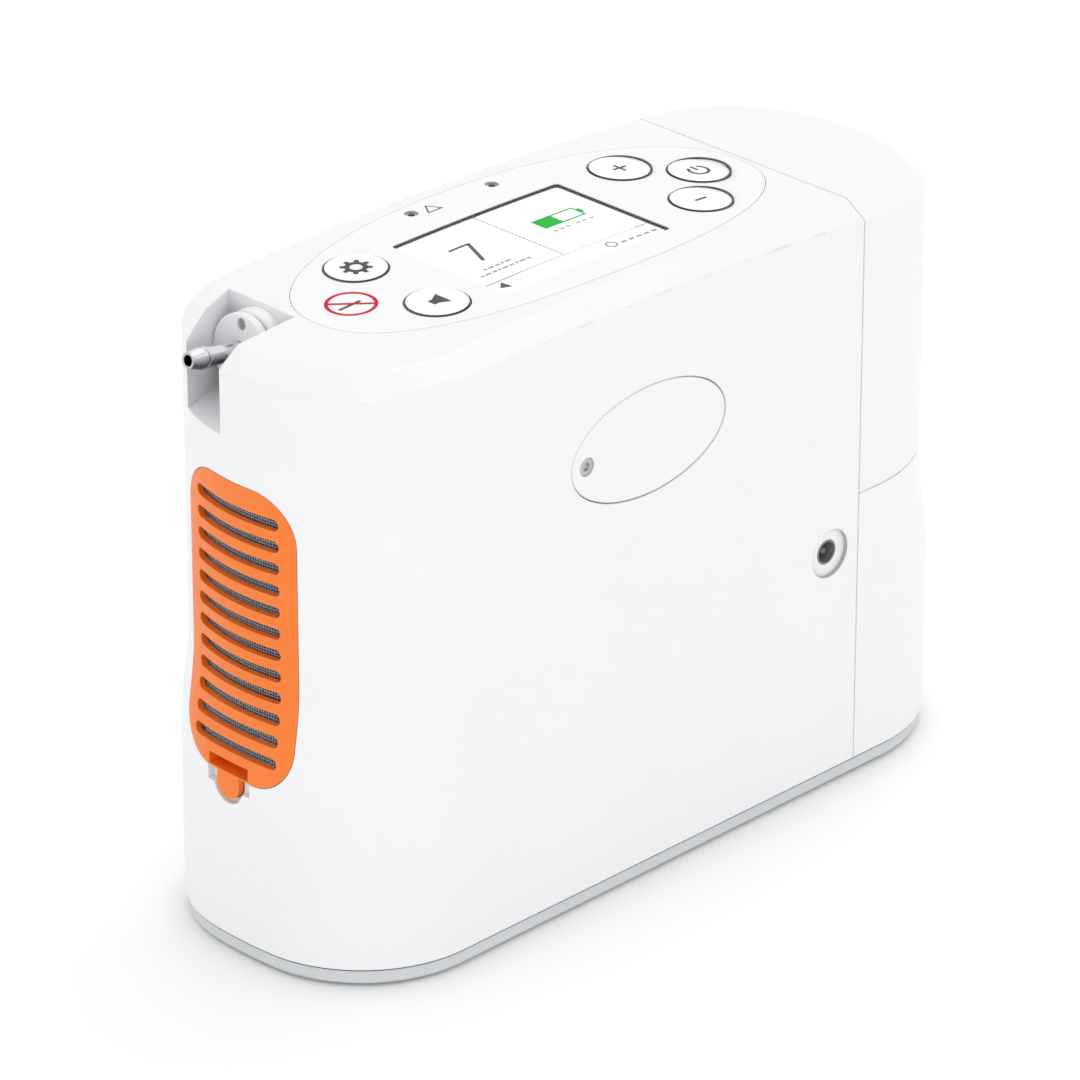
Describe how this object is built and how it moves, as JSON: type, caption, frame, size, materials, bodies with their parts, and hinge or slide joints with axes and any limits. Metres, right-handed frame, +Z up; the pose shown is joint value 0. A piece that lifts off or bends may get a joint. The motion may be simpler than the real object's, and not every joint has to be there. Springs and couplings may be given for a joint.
{
  "type": "oxygen concentrator",
  "caption": "Portable oxygen concentrator: tall rounded white case with barbed outlet in a corner recess, slotted intake grille, oval key panel with screen, and lift-off battery.",
  "frame": {"origin": "centre of the footprint on the surface that the feet stand on", "axes": "+Z up, +X along the length from the outlet and intake end (-X) to the battery end (+X), -Y the long side with the power inlet and the service cover"},
  "size_m": [0.222, 0.0828, 0.1618],
  "materials": {
    "white_shell": "satin moulded",
    "base_grey": "fine matt texture",
    "orange_plastic": "satin moulded",
    "wire_mesh": "fine woven wire",
    "filter_foam": "open-cell foam",
    "panel_film": "smooth film",
    "button_white": "satin",
    "window": "clear",
    "display": "backlit panel",
    "light_pipe": "smoked",
    "chrome": "polished",
    "black_plastic": "moulded",
    "rubber": "matt",
    "steel": "machined",
    "aluminium": "anodised",
    "brass": "machined",
    "circuit": "solder mask",
    "winding": "enamelled wire",
    "cell_wrap": "heat-shrink",
    "silicone": "translucent",
    "inner_plastic": "moulded"
  },
  "bodies": {
    "case": {"main_housing": "white_shell", "rear_lower_cover": "white_shell", "service_cover": "white_shell", "base_plate": "base_grey", "feet": "rubber", "base_screws": "steel", "rear_bulkhead": "inner_plastic", "control_overlay": "panel_film", "display_window": "window", "display_module": "display", "display_gasket": "rubber", "inner_screws": "steel", "led_light_pipes": "light_pipe", "service_screw": "steel", "dc_jack": "black_plastic", "dc_jack_pin": "steel", "outlet_boss": "white_shell", "outlet_flange": "white_shell", "outlet_nozzle": "chrome", "outlet_screws": "steel", "dock_connector": "black_plastic", "latch_spring": "steel", "power_board": "circuit", "chassis_tray": "inner_plastic", "tank_shelf": "inner_plastic", "motor_mounts": "rubber", "motor_case": "aluminium", "motor_stator": "winding", "pump_heads": "aluminium", "pump_pistons": "aluminium", "fan_frame": "black_plastic", "sieve_beds": "aluminium", "sieve_caps": "black_plastic", "valve_manifold": "inner_plastic", "solenoid_valves": "steel", "product_tank": "inner_plastic", "outlet_filter": "inner_plastic", "air_tubes": "silicone", "main_board": "circuit", "board_components": "black_plastic", "board_standoffs": "brass", "key_board": "circuit", "key_switches": "black_plastic", "buzzer": "black_plastic", "ribbon_cable": "inner_plastic"},
    "battery": {"battery_shell": "white_shell", "battery_cells": "cell_wrap", "cell_holders": "black_plastic", "battery_connector": "black_plastic"},
    "grille": {"intake_grille": "orange_plastic", "intake_mesh": "wire_mesh", "intake_filter": "filter_foam"},
    "settings_key": {"settings_button": "button_white"},
    "mute_key": {"mute_button": "button_white"},
    "plus_key": {"plus_button": "button_white"},
    "power_key": {"power_button": "button_white"},
    "minus_key": {"minus_button": "button_white"},
    "latch": {"battery_latch_button": "base_grey"},
    "fan": {"fan_rotor": "black_plastic"},
    "rotor": {"motor_rotor": "steel"}
  },
  "joints": [
    {"name": "battery_lift", "type": "slide", "parent": "case", "child": "battery", "axis": [0, 0, 1], "range_m": [0, 0.09]},
    {"name": "grille_pull", "type": "slide", "parent": "case", "child": "grille", "axis": [-1, 0, 0], "range_m": [0, 0.025]},
    {"name": "settings_press", "type": "slide", "parent": "case", "child": "settings_key", "axis": [0, 0, -1], "range_m": [0, 0.0006], "stiffness_N_per_m": 2000},
    {"name": "mute_press", "type": "slide", "parent": "case", "child": "mute_key", "axis": [0, 0, -1], "range_m": [0, 0.0006], "stiffness_N_per_m": 2000},
    {"name": "plus_press", "type": "slide", "parent": "case", "child": "plus_key", "axis": [0, 0, -1], "range_m": [0, 0.0006], "stiffness_N_per_m": 2000},
    {"name": "power_press", "type": "slide", "parent": "case", "child": "power_key", "axis": [0, 0, -1], "range_m": [0, 0.0006], "stiffness_N_per_m": 2000},
    {"name": "minus_press", "type": "slide", "parent": "case", "child": "minus_key", "axis": [0, 0, -1], "range_m": [0, 0.0006], "stiffness_N_per_m": 2000},
    {"name": "latch_press", "type": "slide", "parent": "case", "child": "latch", "axis": [-1, 0, 0], "range_m": [0, 0.0025], "stiffness_N_per_m": 900},
    {"name": "fan_spin", "type": "hinge", "parent": "case", "child": "fan", "pos_m": [-0.084, 0, 0.088], "axis": [1, 0, 0], "continuous": true},
    {"name": "motor_spin", "type": "hinge", "parent": "case", "child": "rotor", "pos_m": [-0.028, 0, 0.045], "axis": [1, 0, 0], "continuous": true}
  ]
}
